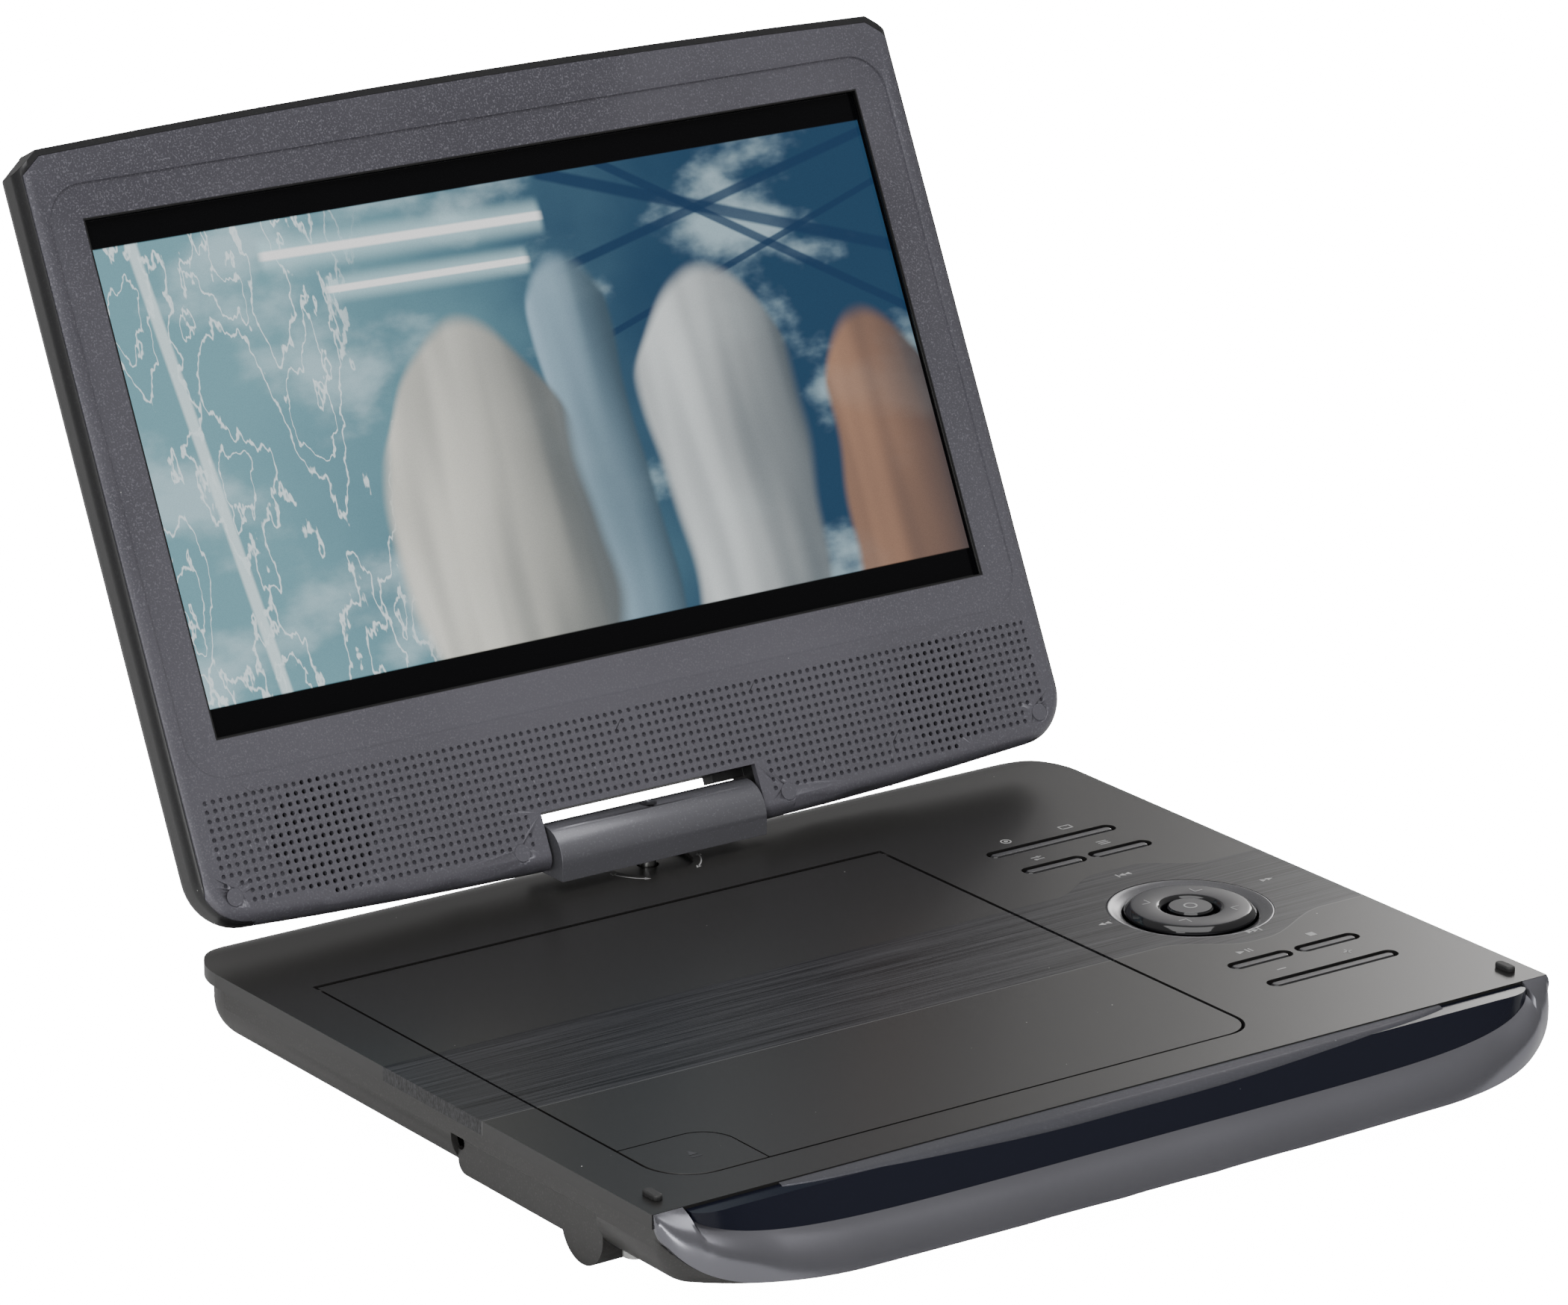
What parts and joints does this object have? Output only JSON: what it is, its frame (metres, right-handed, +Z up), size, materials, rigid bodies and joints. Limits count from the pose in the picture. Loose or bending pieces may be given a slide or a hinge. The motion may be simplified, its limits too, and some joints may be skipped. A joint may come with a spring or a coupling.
{
  "type": "portable dvd player",
  "caption": "Clamshell disc player: screen half on a swivel-and-tilt hinge over a base with a lift-up disc door, ring dial, keys and front grip lip.",
  "frame": {"origin": "on the table, under the middle of the base", "axes": "+X to the user's right, +Y to the back where the hinge is, +Z up; the screen stands at its rest angle, leaning back 25.9 degrees"},
  "size_m": [0.2524, 0.29, 0.2034],
  "materials": {
    "top_case": "satin dark grey paint with fine speckle",
    "door": "satin dark grey with brushed band",
    "lower_case": "satin dark grey",
    "lip": "satin metallic grey",
    "recess": "gloss navy black",
    "grip_bar": "satin dark blue",
    "keys": "satin grey",
    "dial_dish": "satin silver grey",
    "dial": "satin top, gloss black edge",
    "bezel": "satin charcoal with metallic speckle",
    "rear_cover": "satin black",
    "hinge_block": "satin charcoal",
    "screen": "dark glass",
    "inner_plastic": "moulded black",
    "rubber": "matt black",
    "steel": "bright steel",
    "motor": "plated can",
    "lens": "clear lens",
    "circuit_board": "solder mask green",
    "socket": "moulded black",
    "battery": "shrink sleeve",
    "speaker": "paper cone and steel"
  },
  "bodies": {
    "base": {"base_top_case": "top_case", "base_lower_case": "lower_case", "front_trim": "lip", "front_recess_panel": "recess", "front_grip_bar": "grip_bar", "battery_cover": "lower_case", "battery_cells": "battery", "disc_deck": "inner_plastic", "loader_chassis": "inner_plastic", "loader_dampers": "rubber", "guide_rods": "steel", "spindle_motor": "motor", "feed_motor": "motor", "button_spring": "steel", "dial_bezel": "dial_dish", "key_board": "circuit_board", "main_board": "circuit_board", "usb_port": "socket", "card_slot": "socket", "headphone_jack": "socket", "av_jack": "socket", "dc_jack": "socket", "switch_frame": "inner_plastic", "rubber_feet": "rubber", "top_bumpers": "rubber", "case_screws": "steel", "inner_screws": "steel", "swivel_bracket": "steel"},
    "disc_door": {"disc_door": "door", "door_hinge_pins": "steel"},
    "open_button": {"open_button": "door"},
    "turntable": {"turntable": "inner_plastic"},
    "pickup": {"pickup_sled": "inner_plastic", "pickup_lens": "lens"},
    "lead_screw": {"lead_screw": "steel"},
    "source_key": {"source_key": "keys"},
    "setup_key": {"setup_key": "keys"},
    "menu_key": {"menu_key": "keys"},
    "play_key": {"play_key": "keys"},
    "stop_key": {"stop_key": "keys"},
    "volume_key": {"volume_key": "keys"},
    "nav_gimbal": {"nav_gimbal": "inner_plastic"},
    "nav_ring": {"nav_ring": "dial"},
    "ok_button": {"ok_button": "dial"},
    "power_switch": {"power_switch": "socket"},
    "swivel_block": {"swivel_post": "steel", "hinge_block_front": "hinge_block", "hinge_block_rear": "hinge_block", "tilt_shafts": "steel", "friction_barrels": "steel"},
    "screen_half": {"lid_bezel": "bezel", "lid_rear_cover": "rear_cover", "lcd_panel": "screen", "lcd_frame": "steel", "lcd_board": "circuit_board", "speakers": "speaker", "screw_plugs": "rubber", "lid_screws": "steel", "lid_hinge_brackets": "steel"}
  },
  "joints": [
    {"name": "screen_swivel", "type": "hinge", "parent": "base", "child": "swivel_block", "pos_m": [0, 0.0957, 0.0306], "axis": [0, 0, 1], "range_deg": [-180, 180]},
    {"name": "screen_tilt", "type": "hinge", "parent": "swivel_block", "child": "screen_half", "pos_m": [0, 0.0957, 0.0306], "axis": [-1, 0, 0], "range_deg": [-115.9, 64.1]},
    {"name": "door_hinge", "type": "hinge", "parent": "base", "child": "disc_door", "pos_m": [0, 0.0677, 0.0223], "axis": [1, 0, 0], "range_deg": [-70, 0]},
    {"name": "open_press", "type": "slide", "parent": "base", "child": "open_button", "axis": [0, 0, 1], "range_m": [-0.001, 0], "stiffness_N_per_m": 300},
    {"name": "disc_spin", "type": "hinge", "parent": "base", "child": "turntable", "pos_m": [-0.031, -0.0037, 0.0183], "axis": [0, 0, 1], "continuous": true},
    {"name": "pickup_slide", "type": "slide", "parent": "base", "child": "pickup", "axis": [1, 0, 0], "range_m": [-0.034, 0]},
    {"name": "screw_spin", "type": "hinge", "parent": "base", "child": "lead_screw", "pos_m": [-0.1, -0.0257, 0.0112], "axis": [1, 0, 0], "range_deg": [0, 1700]},
    {"name": "source_press", "type": "slide", "parent": "base", "child": "source_key", "axis": [0, 0, 1], "range_m": [-0.0005, 0], "stiffness_N_per_m": 300},
    {"name": "setup_press", "type": "slide", "parent": "base", "child": "setup_key", "axis": [0, 0, 1], "range_m": [-0.0005, 0], "stiffness_N_per_m": 300},
    {"name": "menu_press", "type": "slide", "parent": "base", "child": "menu_key", "axis": [0, 0, 1], "range_m": [-0.0005, 0], "stiffness_N_per_m": 300},
    {"name": "play_press", "type": "slide", "parent": "base", "child": "play_key", "axis": [0, 0, 1], "range_m": [-0.0005, 0], "stiffness_N_per_m": 300},
    {"name": "stop_press", "type": "slide", "parent": "base", "child": "stop_key", "axis": [0, 0, 1], "range_m": [-0.0005, 0], "stiffness_N_per_m": 300},
    {"name": "volume_rock", "type": "hinge", "parent": "base", "child": "volume_key", "pos_m": [0.08815, -0.0567, 0.0206], "axis": [0, 1, 0], "range_deg": [-1.5, 1.5], "stiffness_Nm_per_rad": 0.05},
    {"name": "dial_rock_front_back", "type": "hinge", "parent": "base", "child": "nav_gimbal", "pos_m": [0.0863, -0.0061, 0.0199], "axis": [1, 0, 0], "range_deg": [-2, 2], "stiffness_Nm_per_rad": 0.05},
    {"name": "dial_rock_left_right", "type": "hinge", "parent": "nav_gimbal", "child": "nav_ring", "pos_m": [0.0863, -0.0061, 0.0199], "axis": [0, 1, 0], "range_deg": [-2, 2], "stiffness_Nm_per_rad": 0.05},
    {"name": "ok_press", "type": "slide", "parent": "base", "child": "ok_button", "axis": [0, 0, 1], "range_m": [-0.0005, 0], "stiffness_N_per_m": 300},
    {"name": "power_slide", "type": "slide", "parent": "base", "child": "power_switch", "axis": [0, 1, 0], "range_m": [0, 0.003]}
  ],
  "couplings": [
    {"joint": "screw_spin", "follows": "pickup_slide", "rad_per_m": -739.2}
  ]
}
